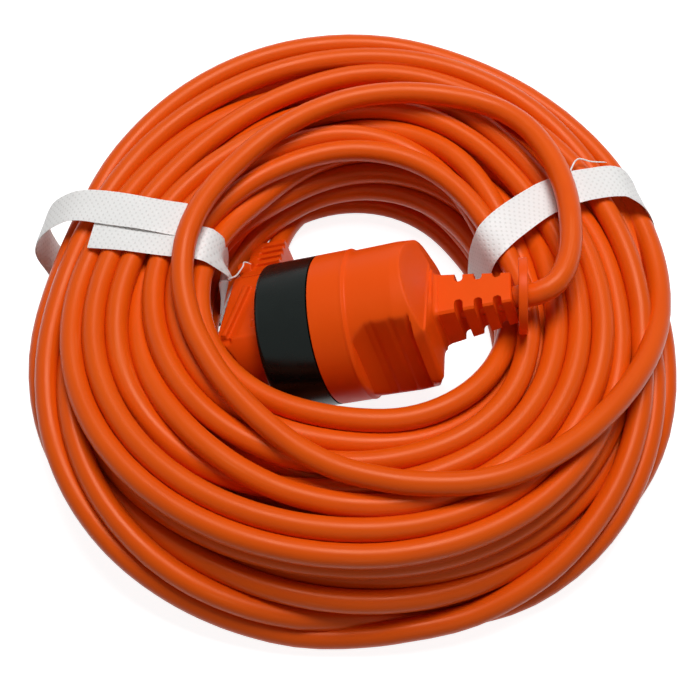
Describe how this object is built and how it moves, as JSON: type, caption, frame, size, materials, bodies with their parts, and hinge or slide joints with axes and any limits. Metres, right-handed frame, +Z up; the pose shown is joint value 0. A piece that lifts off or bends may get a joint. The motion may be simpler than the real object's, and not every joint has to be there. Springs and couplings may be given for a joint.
{
  "type": "shore power cord",
  "caption": "Orange three-core extension lead wound into a banded coil, its angled two-pin earthed plug seated in its own round coupler in the middle.",
  "frame": {"origin": "middle of the coil's footprint on the ground", "axes": "+Z up from the ground, +Y from the front of the coil to its back, +X to the right"},
  "size_m": [0.2394, 0.2528, 0.0713],
  "materials": {
    "cord_sheath": "smooth flexible sheath with a soft sheen",
    "orange_moulding": "soft moulded plastic, satin",
    "black_moulding": "hard moulded plastic, semi-gloss",
    "strapping": "milky strapping band",
    "dark_moulding": "moulded insulating plastic",
    "brass": "rolled brass",
    "nickel": "nickel plate",
    "brown_core": "core insulation",
    "blue_core": "core insulation",
    "earth_core": "core insulation, green with a yellow stripe"
  },
  "bodies": {
    "coil": {"cord_coil": "cord_sheath", "top_loop": "cord_sheath", "plug_lead": "cord_sheath", "left_strap": "strapping", "right_strap": "strapping", "plug_body": "orange_moulding", "plug_bridge": "dark_moulding", "line_pin": "nickel", "neutral_pin": "nickel", "plug_earth_bracket": "nickel", "plug_cord_tail": "cord_sheath", "plug_brown_core": "brown_core", "plug_blue_core": "blue_core", "plug_earth_core": "earth_core"},
    "coupler": {"coupler_body": "orange_moulding", "coupler_collar": "black_moulding", "coupler_earth_bracket": "nickel", "coupler_cord_tail": "cord_sheath", "coupler_brown_core": "brown_core", "coupler_blue_core": "blue_core", "coupler_earth_core": "earth_core", "contact_carrier": "dark_moulding", "line_contact": "brass", "neutral_contact": "brass"},
    "disc": {"cord_disc": "orange_moulding"}
  },
  "joints": [
    {"name": "coupler_pull", "type": "slide", "parent": "coil", "child": "coupler", "axis": [0.9472, 0, 0.3206], "range_m": [0, 0.01], "deforming": ["top_loop"]},
    {"name": "disc_slide", "type": "slide", "parent": "coupler", "child": "disc", "axis": [0.9472, 0, 0.3206], "range_m": [0, 0.006]}
  ]
}
